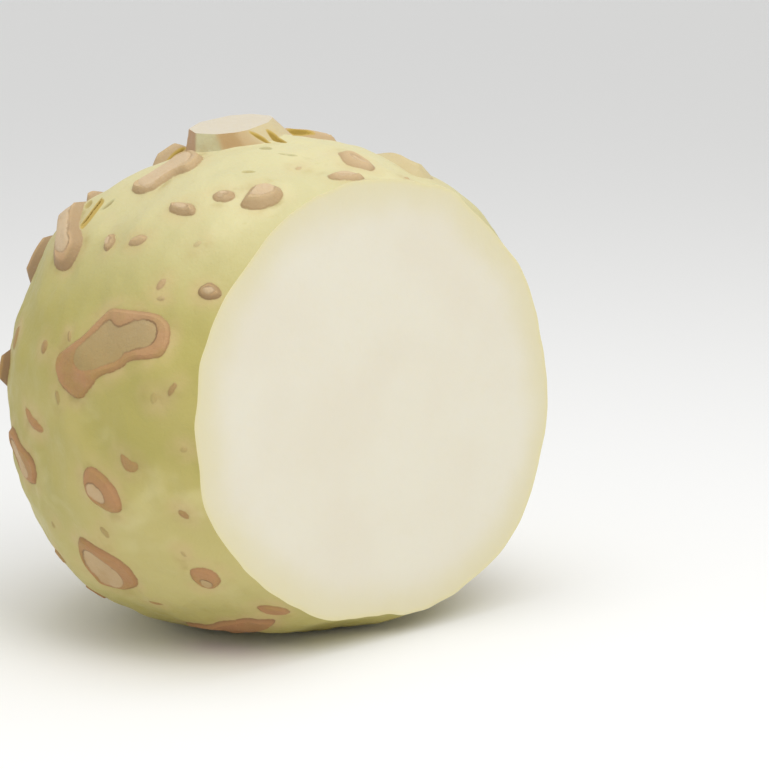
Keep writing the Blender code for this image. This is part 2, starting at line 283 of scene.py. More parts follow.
SHOULDER_PATCH = ((-2.8, 8), (-0.2, 7.4), (0.2, 5.6), (-2, 5.4))
SHOULDER_CREASE = ((5, 11.7), (4.6, 10), (5, 7), (5.8, 7.6), (5.8, 10.4))
KNOB_SLIT = ((1.3, -2.8), (1.7, -1.4), (0.8, 0.4), (-0.8, 2.2), (-1.6, 2.2), (-0.2, -0.6))

SLITS = (
    # on the slopes beside the crown
    Slit(-64.6, 80.4, SLIT_BY_CROWN, 0.4, 1, 0.6),
    Slit(-47.2, 83, WIDE_SLIT_BY_CROWN, 0.5, 1, 0.6),
    Slit(107.5, 81, SLIT_BEHIND_CROWN, 0.3, 1, 0.6),
    # on the shoulder and the knob behind the ridge
    Slit(-116, 40, SHOULDER_HOLLOW, 0.2, 1, 0),
    Slit(-116, 40, SHOULDER_SLIT, 0.7, 0.8, 1.6),
    Slit(-116, 40, SHOULDER_PATCH, 0.3, 0.5, 0.2),
    Slit(-116, 40, SHOULDER_CREASE, 0.35, 0, 0.5),
    Slit(-145.6, 66.2, KNOB_SLIT, 0.6, 1, 0.8),
    # faint creases between the crown and the cut
    Slit(-35, 71.7, oval(4.4, 0.9, -10, 72), 0.2, 0, 0.2),
    Slit(-52, 74.7, oval(3.2, 2, 0, 73), 0.3, 0, 0.2),
    Slit(-55, 63, oval(3.2, 1.3, 5, 74), 0.25, 0.2, 0.2),
)

# Small flecks of scar, too small for a core: (azimuth, latitude, long, wide, turn, tone). A tone below 0 is
# faint, and lets the skin's own colour through.
FLECKS = (
    (-63.6, 41.6, 2.2, 1.4, 30, -0.5),
    (-70, 32, 3.2, 1.8, 62, 0.1),
    (-69, 29, 2.0, 1.2, 10, -0.3),
    (-100, 15.7, 3.4, 3.0, 80, 0.1),
    (-92, 18.8, 2.8, 1.2, -60, -0.2),
    (-116, 15, 6.0, 3.2, 90, 0.4),
    (-63, 11, 3.2, 1.4, 57, 0.0),
    (-67, 9, 2.6, 1.6, 85, -0.7),
    (-93, 6.4, 3.4, 1.8, -62, -0.3),
    (-61, -1, 1.8, 1.2, 20, -0.6),
    (-62, -15, 3.2, 2.0, -48, 0.2),
    (-83, -21, 3.6, 1.6, -57, -0.3),
    (-64, -25, 2.0, 0.9, -60, -0.5),
    (-80, -42, 3.4, 1.6, -25, 0.3),
    (-101, -22, 2.0, 1.2, -70, -0.4),
    (21, 58, 2.0, 1.6, 0, 0.1),
    (-31, 66, 1.8, 1.2, 40, -0.2),
)
FAR_FLECKS = 34
FAR_FLECK_SEED = 21
FAR_AZIMUTHS = (55, 220)
FAR_HEIGHTS = (-0.8, 0.85)  # the sine of the latitude
FAR_LENGTHS = (1.6, 4.2)
FAR_WIDTH_SHARES = (0.4, 0.7)
FAR_TONES = (-0.7, 0.5)
FLECK_RISE = 0.25
FLECK_SLOPE = 0.5
FLECK_OUTLINE_SEED = 100


def direction(azimuth, latitude):
    """The unit vector at an azimuth and a latitude in degrees."""
    a = math.radians(azimuth)
    b = math.radians(latitude)
    return np.array([math.cos(a) * math.cos(b), math.sin(a) * math.cos(b), math.sin(b)])


def smooth_step(t):
    """0 at and below 0, 1 at and above 1, and level at both ends."""
    t = np.clip(t, 0, 1)
    return t * t * (3 - 2 * t)


def unit(vectors):
    """The vectors at a length of 1."""
    return vectors / np.linalg.norm(vectors, axis=-1, keepdims=True)


def globe_radius(points):
    """How far the globe lies from its centre along each unit vector, before its waves and scars."""
    half_height = np.where(points[:, 2] > 0, HEIGHT_ABOVE_CENTRE, DEPTH_BELOW_CENTRE)
    share_above = smooth_step(points[:, 2] + 0.5)
    power = SQUARENESS_BELOW + (SQUARENESS_ABOVE - SQUARENESS_BELOW) * share_above
    outwards = np.hypot(points[:, 0], points[:, 1]) / GLOBE_RADIUS
    upwards = np.abs(points[:, 2]) / half_height
    radius = (outwards**power + upwards**power) ** (-1 / power)
    for swell in SWELLS:
        away = np.arccos(np.clip(points @ direction(swell.azimuth, swell.latitude), -1, 1))
        radius += swell.rise * np.exp(-((away / math.radians(swell.spread)) ** 2))
    return radius


def skin_waves(points):
    """The height of the skin's low waves along each unit vector."""
    dice = np.random.default_rng(WAVE_SEED)
    height = np.zeros(len(points))
    for wavelength, rise, count in WAVES:
        for _ in range(count):
            along = unit(dice.normal(size=3))
            phase = dice.uniform(0, math.tau)
            height += rise * np.sin(points @ along * math.tau * GLOBE_RADIUS / wavelength + phase)
    return height


def all_scars():
    """The scars by name and every fleck, as one list."""
    dice = random.Random(FAR_FLECK_SEED)
    flecks = list(FLECKS)
    while len(flecks) < len(FLECKS) + FAR_FLECKS:
        azimuth = dice.uniform(*FAR_AZIMUTHS)
        latitude = math.degrees(math.asin(dice.uniform(*FAR_HEIGHTS)))
        long = dice.uniform(*FAR_LENGTHS)
        wide = long * dice.uniform(*FAR_WIDTH_SHARES)
        turn = dice.uniform(0, 180)
        tone = dice.uniform(*FAR_TONES)
        flecks.append((azimuth, latitude, long, wide, turn, tone))
    found = list(SCARS)
    for index, (azimuth, latitude, long, wide, turn, tone) in enumerate(flecks):
        outline = oval(long, wide, turn, FLECK_OUTLINE_SEED + index, 7)
        rise = FLECK_RISE * min(1, 1 + tone)
        found.append(Scar(azimuth, latitude, outline, rise, FLECK_SLOPE, tone))
    return found


LEAST_FORWARD = 0.2  # keeps points round the side of the globe from flying off a tangent plane


def tangent_axes(feature):
    """The globe's outward direction at a feature's middle, east of it, and towards the crown."""
    middle = direction(feature.azimuth, feature.latitude)
    east = direction(feature.azimuth + 90, 0)
    return middle, east, np.cross(middle, east)


def to_flat(points, feature):
    """Unit vectors as millimetres east and north of a feature's middle, on its tangent plane."""
    middle, east, north = tangent_axes(feature)
    radius = globe_radius(middle[None])[0]
    forward = np.maximum(points @ middle, LEAST_FORWARD)
    return np.stack([radius * (points @ east) / forward, radius * (points @ north) / forward], axis=1)


def from_flat(flat, feature):
    """The opposite of to_flat."""
    middle, east, north = tangent_axes(feature)
    radius = globe_radius(middle[None])[0]
    return unit(middle + flat[:, :1] / radius * east + flat[:, 1:] / radius * north)


CORNER_CUT = 0.22  # how much of each side a cut corner takes
CORNER_PASSES = 2


def rounded(corners):
    """A closed outline with its corners cut, and the cuts' corners cut again."""
    outline = np.array(corners, float)
    for _ in range(CORNER_PASSES):
        following = np.roll(outline, -1, axis=0)
        leaving = (1 - CORNER_CUT) * outline + CORNER_CUT * following
        arriving = CORNER_CUT * outline + (1 - CORNER_CUT) * following
        outline = np.stack([leaving, arriving], axis=1).reshape(-1, 2)
    return outline


LEAST_CLIMB = 1e-9  # stands in for the climb of a level edge


def inside_distance(flat, outline):
    """How far inside a closed outline each point lies, negative outside it."""
    start = outline[None]
    edge = np.roll(outline, -1, axis=0)[None] - start
    away = flat[:, None] - start
    share = np.clip((away * edge).sum(2) / (edge * edge).sum(2), 0, 1)
    nearest = np.linalg.norm(away - share[:, :, None] * edge, axis=2).min(1)
    spans = (away[:, :, 1] < 0) != (away[:, :, 1] < edge[:, :, 1])
    climb = np.where(np.abs(edge[:, :, 1]) < LEAST_CLIMB, LEAST_CLIMB, edge[:, :, 1])
    crosses = spans & (away[:, :, 0] < away[:, :, 1] / climb * edge[:, :, 0])
    return np.where(crosses.sum(1) % 2 == 1, nearest, -nearest)


SMALL_RADIUS = 0.9 * GLOBE_RADIUS  # small enough that an arc's angle is never underestimated by much


def near_feature(points, feature, reach):
    """Which unit vectors lie within reach of a feature's middle."""
    middle = direction(feature.azimuth, feature.latitude)
    return np.flatnonzero(points @ middle > math.cos(reach / SMALL_RADIUS))


def evenly(outline, spacing):
    """Points at even steps along a closed outline."""
    closed = np.concatenate([outline, outline[:1]])
    run = np.concatenate([[0], np.cumsum(np.linalg.norm(np.diff(closed, axis=0), axis=1))])
    steps = max(6, round(run[-1] / spacing))
    at = np.arange(steps) / steps * run[-1]
    return np.stack([np.interp(at, run, closed[:, 0]), np.interp(at, run, closed[:, 1])], axis=1)


# ----------------------------------------
# The skin's surface

FAR = 6.0  # distances outside a scar stop counting here
GROOVE_WIDTH = 0.32
GROOVE_DEPTH = 0.22
SINK_WIDTH = 0.5  # over which a core sinks, and a slit
SIDE_MARGIN = 0.1  # how far a scar's side reaches past its outline
STEEP_RISE = 1.5  # a scar that rises this much has its side fully marked
UPPER_RIGHT = np.array([0.55, 0.84])  # east and north: the side where the painted shade in a core's groove is strongest
FAINTEST_GROOVE_SHADE = 0.12
STRONGEST_GROOVE_SHADE = 0.90


class Surface:
    """What the skin is like along a set of unit vectors: its radius, and what its colours need."""

    def __init__(self, points, scars):
        self.points = points
        self.scar = np.full(len(points), -FAR)
        self.core = np.full(len(points), -FAR)
        self.slit = np.full(len(points), -FAR)
        self.side = np.zeros(len(points))
        self.tone = np.zeros(len(points))
        self.pale = np.zeros(len(points))
        self.upper = np.zeros(len(points))
        self.gold = np.zeros(len(points))
        self.dark = np.zeros(len(points))
        bumps = np.zeros(len(points))
        cuts = np.zeros(len(points))
        for scar in scars:
            self.add_scar(scar, bumps)
        for slit in SLITS:
            self.add_slit(slit, cuts)
        self.radius = globe_radius(points) + skin_waves(points) + bumps
        stump = crown_radius(points)
        self.stump = np.maximum(stump - self.radius, -FAR)
        self.radius = np.maximum(self.radius, stump) - cuts

    def near(self, feature, outline):
        """Which points are close enough to a feature to matter, and where they are on its tangent plane."""
        reach = np.linalg.norm(outline, axis=1).max() + FAR
        chosen = near_feature(self.points, feature, reach)
        return chosen, to_flat(self.points[chosen], feature)

    def add_scar(self, scar, bumps):
        """Adds a scar's height to bumps and marks its bark, side and core."""
        outline = rounded(scar.outline)
        chosen, flat = self.near(scar, outline)
        inside = inside_distance(flat, outline)
        climb = np.clip(inside / scar.slope, 0, 1)
        height = scar.rise * climb
        steepness = min(1, (scar.rise / STEEP_RISE) ** 2)
        side = np.where(inside > -SIDE_MARGIN, (1 - climb) * steepness, 0)
        nearest = inside > self.scar[chosen]
        self.scar[chosen] = np.maximum(self.scar[chosen], inside)
        self.tone[chosen] = np.where(nearest, scar.tone, self.tone[chosen])
        self.side[chosen] = np.maximum(self.side[chosen], side)
        if scar.core:
            depth = inside_distance(flat, rounded(scar.core))
            height -= GROOVE_DEPTH * np.exp(-((depth / GROOVE_WIDTH) ** 2))
            height -= scar.sunk * smooth_step(depth / SINK_WIDTH)
            nearest = depth > self.core[chosen]
            self.core[chosen] = np.maximum(self.core[chosen], depth)
            self.pale[chosen] = np.where(nearest, scar.pale, self.pale[chosen])
            # How strong the painted shade in the core's groove is: strongest on one side of the core.
            core = np.array(scar.core)
            across = (flat - core.mean(0)) @ UPPER_RIGHT / np.ptp(core @ UPPER_RIGHT)
            upper = FAINTEST_GROOVE_SHADE + (STRONGEST_GROOVE_SHADE - FAINTEST_GROOVE_SHADE) * smooth_step(across + 0.5)
            self.upper[chosen] = np.where(nearest, upper, self.upper[chosen])
        bumps[chosen] += height

    def add_slit(self, slit, cuts):
        """Adds a slit's depth to cuts and marks its colours."""
        outline = rounded(slit.outline)
        chosen, flat = self.near(slit, outline)
        inside = inside_distance(flat, outline)
        nearest = inside > self.slit[chosen]
        self.slit[chosen] = np.maximum(self.slit[chosen], inside)
        self.gold[chosen] = np.where(nearest, slit.gold, self.gold[chosen])
        self.dark[chosen] = np.where(nearest, slit.dark, self.dark[chosen])
        cuts[chosen] += slit.depth * smooth_step(inside / SINK_WIDTH)


LEAST_FACING = 1e-3  # a direction that turns away from a side meets it far off


def crown_lengths(points):
    """How far along each unit vector it meets the plane of each of the stump's sides."""
    normals = np.array([direction(side.azimuth, side.lean) for side in SIDES])
    edges = np.array([CROWN_MIDDLE + side.distance * direction(side.azimuth, 0) for side in SIDES])
    return (normals * edges).sum(1) / np.maximum(points @ normals.T, LEAST_FACING)


def crown_colours(points):
    """The colour of the stump's side that each unit vector leaves through, blended near the corners."""
    lengths = np.minimum(crown_lengths(points), 2 * HEIGHT_ABOVE_CENTRE)
    shares = np.exp((lengths.min(1, keepdims=True) - lengths) / CORNER_BLEND)
    shares /= shares.sum(1, keepdims=True)
    colours = np.array([(*SIDE_COLOURS[side.colour], 1) for side in SIDES])
    return shares @ colours


def crown_radius(points):
    """How far the stump's sides lie from the globe's centre along each unit vector."""
    radius = np.minimum(crown_lengths(points).min(1), TALLEST_STUMP)
    near = points @ unit(CROWN_MIDDLE) > math.cos(CROWN_REACH / HEIGHT_ABOVE_CENTRE)
    return np.where(near, radius, 0)


# ----------------------------------------
# The mesh

SKIN, FLESH = 0, 1  # the material slots

# How far apart the mesh's vertices are.
SKIN_SPACING = 1.25
SCAR_SPACING = 0.50
EDGE_SPACING = 0.42
FLESH_SPACING = 2.0
CROWN_SPACING = 0.8
BASE_SPACING = 1.5
SMALLEST_GAP = 0.16
CLEAR_OF_EDGE = 0.26

SCAR_MARGIN = 0.9  # how far a scar's fine mesh reaches past its outline
BEYOND_CUT = 3.0  # how far the skin runs past the cut before it is sliced
SNAP = 0.02  # a vertex this near to a slicing plane is moved onto it
SAME_PLACE = 1e-4
SAME_DIRECTION = 1e-7
SAME_FLAT_PLACE = 1e-6
UNFOLDED = 0.9  # a point moved inwards is kept if it is still this share of the way inside
UNFOLDED_ON_RIM = 0.8
SAME_FACING = 0.99  # the cosine between the normals of a flat's faces and the flat's own
SHARP_ANGLE = 32
FOOT_NEAREST = 3.0  # where the search for the stump's foot starts
FOOT_FURTHEST = CROWN_REACH - 1.0
FOOT_STEPS = 30  # halvings in the search for the stump's foot
SHARES_UP_STUMP = (0.97, 0.94, 0.90, 0.84, 0.76, 0.66, 0.5)
STEPS_FROM_STUMP = (0.5, 1.0, 1.6)
RIM_RING_SPACING = 0.6  # of the spacing inside, like the three that follow
RIM_RING_INSET = 0.5
CLEAR_OF_RIM = 0.45
CLEAR_OF_RING = 0.55


def spread_points(spacing):
    """Unit vectors spread evenly over the whole globe along a spiral."""
    count = round(4 * math.pi * GLOBE_RADIUS**2 / (spacing**2 * math.sqrt(3) / 2))
    index = np.arange(count)
    height = 1 - (2 * index + 1) / count
    turn = index * math.pi * (3 - math.sqrt(5))
    outwards = np.sqrt(1 - height**2)
    return np.stack([np.cos(turn) * outwards, np.sin(turn) * outwards, height], axis=1)


def grid(low, high, spacing):
    """A triangular grid of points that covers a rectangle."""
    across = np.arange(low[0], high[0] + spacing, spacing)
    up = np.arange(low[1], high[1] + spacing, spacing * math.sqrt(3) / 2)
    x, y = np.meshgrid(across, up)
    x = x + (np.arange(len(up)) % 2)[:, None] * spacing / 2
    return np.stack([x.ravel(), y.ravel()], axis=1)


def turning(outline):
    """1 for an outline that runs counter-clockwise, -1 for one that runs clockwise."""
    following = np.roll(outline, -1, axis=0)
    area = (outline[:, 0] * following[:, 1] - outline[:, 1] * following[:, 0]).sum()
    return 1 if area > 0 else -1


def inset(outline, by):
    """An outline moved inwards, for a short way."""
    along = unit(np.roll(outline, -1, axis=0) - np.roll(outline, 1, axis=0))
    return outline + by * np.stack([-along[:, 1], along[:, 0]], axis=1) * turning(outline)


def feature_points(feature):
    """Unit vectors along a scar's or slit's edges, and on a fine grid over the rest of it."""
    outline = rounded(feature.outline)
    edges = [evenly(outline, EDGE_SPACING)]
    if isinstance(feature, Scar):
        raised = inset(evenly(outline, EDGE_SPACING), feature.slope)
        edges.append(raised[inside_distance(raised, outline) > UNFOLDED * feature.slope])
        if feature.core:
            edges.append(evenly(rounded(feature.core), EDGE_SPACING))
    edges = np.concatenate(edges)
    filling = grid(outline.min(0) - SCAR_MARGIN, outline.max(0) + SCAR_MARGIN, SCAR_SPACING)
    filling = filling[inside_distance(filling, outline) > -SCAR_MARGIN]
    gaps = np.linalg.norm(filling[:, None] - edges[None], axis=2).min(1)
    return from_flat(np.concatenate([edges, filling[gaps > CLEAR_OF_EDGE]]), feature)


def crown_points():
    """Unit vectors in rings: along the foot of the stump, up its sides, and just outside it."""
    middle = CROWN_MIDDLE[:2]
    angle = np.linspace(-math.pi, math.pi, round(math.tau * CROWN_REACH / EDGE_SPACING), endpoint=False)
    around = np.stack([np.cos(angle), np.sin(angle)], axis=1)
    inner = np.full(len(angle), FOOT_NEAREST)
    outer = np.full(len(angle), FOOT_FURTHEST)

    def vectors(distance):
        """The unit vectors at a distance from the stump's middle in each direction round it."""
        flat = middle + around * distance[:, None]
        return unit(np.concatenate([flat, np.full((len(flat), 1), HEIGHT_ABOVE_CENTRE - 1)], axis=1))

    for _ in range(FOOT_STEPS):
        tried = (inner + outer) / 2
        points = vectors(tried)
        outside = crown_radius(points) < globe_radius(points)
        outer = np.where(outside, tried, outer)
        inner = np.where(outside, inner, tried)
    foot = outer
    rings = [vectors(foot)]
    rings += [vectors(foot * share) for share in SHARES_UP_STUMP]
    rings += [vectors(foot + step) for step in STEPS_FROM_STUMP]
    return np.concatenate(rings)


def thinned(points):
    """The points without any that crowds an earlier one."""
    tree = kdtree.KDTree(len(points))
    for index, point in enumerate(points):
        tree.insert(point, index)
    tree.balance()
    kept = np.ones(len(points), bool)
    for index, point in enumerate(points):
        if kept[index]:
            for _, other, _ in tree.find_range(point, SMALLEST_GAP / GLOBE_RADIUS):
                if other > index:
                    kept[other] = False
    return points[kept]


def mesh_points(scars):
    """Every direction in which the mesh has a vertex, as far as a little beyond the cut."""
    spread = spread_points(SKIN_SPACING)
    free = np.ones(len(spread), bool)
    for feature in [*scars, *SLITS]:
        outline = rounded(feature.outline)
        reach = np.linalg.norm(outline, axis=1).max() + SCAR_MARGIN
        near = near_feature(spread, feature, reach)
        inside = inside_distance(to_flat(spread[near], feature), outline)
        free[near[inside > -SCAR_MARGIN]] = False
    features = [feature_points(feature) for feature in [*scars, *SLITS]]
    points = np.concatenate([crown_points(), *features, spread[free]])
    return thinned(points[points[:, 0] * globe_radius(points) < CUT + BEYOND_CUT])


def triangles(points):
    """The corners of the triangles that join neighbouring unit vectors, none of them near +X."""
    flat = points[:, 1:] / (1 - points[:, :1])
    found = geometry.delaunay_2d_cdt([Vector(place) for place in flat], [], [], 0, SAME_DIRECTION)
    sources = [source[0] for source in found[3]]
    return [[sources[corner] for corner in reversed(face)] for face in found[2]]


def slice_off(mesh, point, outward):
    """Cuts away what lies beyond a plane. Returns the open rim's vertices in order."""
    point = Vector(point)
    outward = Vector(outward)
    for vertex in mesh.verts:
        beyond = (vertex.co - point).dot(outward)
        if abs(beyond) < SNAP:
            vertex.co -= beyond * outward
    everything = list(mesh.verts) + list(mesh.edges) + list(mesh.faces)
    bmesh.ops.bisect_plane(
        mesh, geom=everything, dist=SAME_PLACE, plane_co=point, plane_no=outward, clear_outer=True
    )
    ahead = {}
    for edge in mesh.edges:
        if edge.is_boundary:
            corner = edge.link_loops[0]
            ahead[corner.vert] = corner.link_loop_next.vert
    rim = [next(iter(ahead))]
    while len(rim) < len(ahead):
        rim.append(ahead[rim[-1]])
    return rim


def flat_points(outline, spacing):
    """Points inside an outline: a ring beside it, and an even grid within the ring."""
    by = RIM_RING_INSET * spacing
    ring = inset(evenly(outline, RIM_RING_SPACING * spacing), by)
    ring = ring[inside_distance(ring, outline) > UNFOLDED_ON_RIM * by]
    inner = grid(outline.min(0), outline.max(0), spacing)
    inner = inner[inside_distance(inner, outline) > CLEAR_OF_RIM * spacing]
    gaps = np.linalg.norm(inner[:, None] - ring[None], axis=2).min(1)
    return np.concatenate([ring, inner[gaps > CLEAR_OF_RING * spacing]])


def fill(mesh, rim, outward, spacing, material):
    """Closes a flat opening with triangles of an even size, and gives them a material."""
    outward = Vector(outward).normalized()
    across = Vector((0, 0, 1)).cross(outward)
    across = across.normalized() if across.length > 0.1 else Vector((1, 0, 0))
    up = outward.cross(across)
    origin = rim[0].co.copy()
    outline = np.array([((v.co - origin).dot(across), (v.co - origin).dot(up)) for v in rim])
    points = [Vector(place) for place in np.concatenate([outline, flat_points(outline, spacing)])]
    edges = [(index, (index + 1) % len(rim)) for index in range(len(rim))]
    found = geometry.delaunay_2d_cdt(points, edges, [], 1, SAME_FLAT_PLACE)
    vertices = []
    for corner, sources in zip(found[0], found[3]):
        on_rim = [source for source in sources if source < len(rim)]
        if on_rim:
            vertices.append(rim[on_rim[0]])
        else:
            vertices.append(mesh.verts.new(origin + corner.x * across + corner.y * up))
    for corners in found[2]:
        face = mesh.faces.new([vertices[index] for index in corners])
        face.material_index = material
        face.normal_update()
        if face.normal.dot(outward) < 0:
            face.normal_flip()


def build_mesh(scars):
    """The root's mesh, with its skin and flesh faces, in design millimetres."""
    points = mesh_points(scars)
    places = points * Surface(points, scars).radius[:, None] + [0, 0, CENTRE_HEIGHT]
    mesh = bmesh.new()
    corners = [mesh.verts.new(place) for place in places]
    for face in triangles(points):
        mesh.faces.new([corners[index] for index in face])
    crown_top = direction(CROWN_TILT_AZIMUTH, CROWN_OUTWARD_LATITUDE)
    flats = (
        ((CUT, 0, CENTRE_HEIGHT), (1, 0, 0), FLESH_SPACING, FLESH),
        (CROWN_MIDDLE + [0, 0, CENTRE_HEIGHT], crown_top, CROWN_SPACING, FLESH),
        ((0, 0, BASE), (0, 0, -1), BASE_SPACING, SKIN),
    )
    for place, outward, spacing, material in flats:
        rim = slice_off(mesh, place, outward)
        fill(mesh, rim, outward, spacing, material)
    bmesh.ops.recalc_face_normals(mesh, faces=list(mesh.faces))
    return mesh


def rim_distances(mesh):
    """How far each vertex of a flesh face lies from the skin, and 0 for every other vertex."""
    rims = np.zeros(len(mesh.verts))
    mesh.verts.index_update()
    flesh = [face for face in mesh.faces if face.material_index == FLESH]
    crown_top = Vector(direction(CROWN_TILT_AZIMUTH, CROWN_OUTWARD_LATITUDE))
    sides = ((Vector((1, 0, 0)), 1), (crown_top, CROWN_CORE))
    for outward, share in sides:
        faces = [face for face in flesh if face.normal.dot(outward) > SAME_FACING]
        edges = [
            tuple(vertex.index for vertex in edge.verts)
            for face in faces
            for edge in face.edges
            if any(other.material_index == SKIN for other in edge.link_faces)
        ]
        chosen = sorted({vertex.index for face in faces for vertex in face.verts})
        places = np.array([tuple(vertex.co) for vertex in mesh.verts])
        start = places[[a for a, _ in edges]]
        along = places[[b for _, b in edges]] - start
        away = places[chosen][:, None] - start[None]
        run = np.clip((away * along).sum(2) / (along * along).sum(1), 0, 1)
        rims[chosen] = share * np.linalg.norm(away - run[:, :, None] * along[None], axis=2).min(1)
    return rims


def store(data, name, values):
    """Gives each vertex of the mesh one number under this name."""
    attribute = data.attributes.new(name, "FLOAT", "POINT")
    attribute.data.foreach_set("value", np.asarray(values, float))


def make_root(scars):
    """The root as an object, its mesh carrying the numbers that the materials read."""
    mesh = build_mesh(scars)
    rims = rim_distances(mesh)
    places = np.array([tuple(vertex.co) for vertex in mesh.verts]) - [0, 0, CENTRE_HEIGHT]
    surface = Surface(unit(places), scars)
    for vertex in mesh.verts:
        vertex.co *= SCALE
    data = bpy.data.meshes.new("celeriac")
    mesh.to_mesh(data)
    mesh.free()

    for name in ("scar", "core", "slit", "side", "tone", "pale", "upper", "gold", "dark", "stump"):
        store(data, name, getattr(surface, name))
    store(data, "rim", rims)
    attribute = data.attributes.new("stump_colour", "FLOAT_COLOR", "POINT")
    attribute.data.foreach_set("color", crown_colours(surface.points).ravel())
    data.shade_smooth()
    data.set_sharp_from_angle(angle=math.radians(SHARP_ANGLE))
    root = bpy.data.objects.new("celeriac", data)
    bpy.context.scene.collection.objects.link(root)
    return root


# ----------------------------------------
# Materials

# The skin: its patches, what it turns to at the top, partly by painted light from above, and beside the
# scars
PALE_SKIN = (0.63, 0.56, 0.26)
MID_SKIN = (0.50, 0.425, 0.135)
OLIVE_SKIN = (0.42, 0.365, 0.095)
TAN_SKIN = (0.50, 0.36, 0.15)
PALE_AND_LIT_TOP_SKIN = (0.73, 0.69, 0.445)
HALO = (0.58, 0.43, 0.20)
DARK_OLIVE_PATCH = (0.38, 0.29, 0.08)
# Scars. Those named TOP are for the ones near the crown, paler partly in their own colour and partly by
# painted light from above.
PINK_SCAR = (0.45, 0.225, 0.095)
BROWN_SCAR = (0.41, 0.23, 0.075)
OLIVE_SCAR = (0.38, 0.27, 0.095)
RUSSET_SCAR = (0.36, 0.17, 0.075)
# DARK_SCAR is also painted shade: in the groove round a core and in the crease at a scar's foot.
DARK_SCAR = (0.22, 0.125, 0.05)
PALE_AND_LIT_TOP_SCAR = (0.57, 0.42, 0.235)
PALE_AND_LIT_TOP_SIDE = (0.35, 0.22, 0.10)
PALE_AND_LIT_TOP_CORE = (0.68, 0.53, 0.37)
# The painted shade in the groove round a core near the crown, lighter there.
LIT_TOP_GROOVE_SHADE = (0.26, 0.15, 0.07)
TAN_CORE = (0.345, 0.24, 0.075)
CREAM_CORE = (0.60, 0.43, 0.25)
# Slits
GOLD_SLIT = (0.50, 0.35, 0.08)
GREY_SLIT = (0.50, 0.46, 0.24)
DARK_SLIT = (0.22, 0.13, 0.005)
# Flesh
FLESH_CENTRE = (0.73, 0.69, 0.565)
FLESH_WARM = (0.715, 0.665, 0.535)
CROWN_FLESH = (0.63, 0.56, 0.43)
FLESH_RIM = (0.68, 0.62, 0.395)
RIM_LINE = (0.68, 0.61, 0.32)


class Shader:
    """A new material's nodes. Its methods add one node each and return that node's output."""

    def __init__(self, name):
        self.material = bpy.data.materials.new(name)
        self.material.use_nodes = True
        self.tree = self.material.node_tree
        self.principled = self.tree.nodes["Principled BSDF"]
        coordinates = self.tree.nodes.new("ShaderNodeTexCoord").outputs["Object"]
        design = self.tree.nodes.new("ShaderNodeVectorMath")
        design.operation = "SCALE"
        self.tree.links.new(coordinates, design.inputs[0])
        design.inputs["Scale"].default_value = 1 / SCALE
        self.place = design.outputs[0]

    def put(self, socket, value):
        """Links another node's output to a socket, or sets the socket to a plain value."""
        if isinstance(value, bpy.types.NodeSocket):
            self.tree.links.new(value, socket)
        else:
            socket.default_value = value

    def attribute(self, name, output="Fac"):
        """What the mesh stores under this name."""
        node = self.tree.nodes.new("ShaderNodeAttribute")
        node.attribute_name = name
        return node.outputs[output]

    def math(self, operation, a, b=0.0, clamp=False):
        """The operation on two values, held from 0 to 1 if clamp is set."""
        node = self.tree.nodes.new("ShaderNodeMath")
        node.operation = operation
        node.use_clamp = clamp
        self.put(node.inputs[0], a)
        self.put(node.inputs[1], b)
        return node.outputs[0]

    def times(self, a, b):
        """The product of two values."""
        return self.math("MULTIPLY", a, b)

    def spread(self, noise, width):
        """A noise's values moved from 0 to 1 to lie evenly about 0, as wide as width."""
        return self.times(self.math("SUBTRACT", noise, 0.5), width)

    def soften(self, roughness, subsurface, colour_depths, depth):
        """Sets the roughness, and how far light goes below the surface in design millimetres."""
        self.put(self.principled.inputs["Roughness"], roughness)
        self.principled.inputs["Subsurface Weight"].default_value = subsurface
        self.principled.inputs["Subsurface Radius"].default_value = colour_depths
        self.principled.inputs["Subsurface Scale"].default_value = depth * SCALE

    def ramp(self, value, low, high, start=0.0, end=1.0):
        """start up to low, end from high, and a smooth change between them."""
        node = self.tree.nodes.new("ShaderNodeMapRange")
        node.interpolation_type = "SMOOTHSTEP"
        self.put(node.inputs["Value"], value)
        node.inputs["From Min"].default_value = low
        node.inputs["From Max"].default_value = high
        node.inputs["To Min"].default_value = start
        node.inputs["To Max"].default_value = end
        return node.outputs[0]

    def noise(self, size, detail=2.0, roughness=0.5, offset=0.0, warp=0.0):
        """Noise of about this size in design millimetres, from 0 to 1. Each offset gives another noise."""
        node = self.tree.nodes.new("ShaderNodeTexNoise")
        node.noise_dimensions = "4D"
        self.put(node.inputs["Vector"], self.place)
        node.inputs["W"].default_value = offset
        node.inputs["Scale"].default_value = 1 / size
        node.inputs["Detail"].default_value = detail
        node.inputs["Roughness"].default_value = roughness
        node.inputs["Distortion"].default_value = warp
        return node.outputs[0]

    def height(self):
        """The place's height in design millimetres."""
        node = self.tree.nodes.new("ShaderNodeSeparateXYZ")
        self.tree.links.new(self.place, node.inputs[0])
        return node.outputs["Z"]

    def mix(self, share, a, b):
        """Colour a, with this share of colour b over it."""
        node = self.tree.nodes.new("ShaderNodeMix")
        node.data_type = "RGBA"
        self.put(node.inputs[0], share)
        for socket, value in ((node.inputs[6], a), (node.inputs[7], b)):
            self.put(socket, value if isinstance(value, bpy.types.NodeSocket) else (*value, 1.0))
        return node.outputs[2]

    def bump(self, height, distance, under=None):
        """Relief this many design millimetres high, over another bump if one is given."""
        node = self.tree.nodes.new("ShaderNodeBump")
        self.put(node.inputs["Height"], height)
        node.inputs["Distance"].default_value = distance * SCALE
        node.inputs["Strength"].default_value = 1.0
        if under is not None:
            self.tree.links.new(under, node.inputs["Normal"])
        return node.outputs[0]


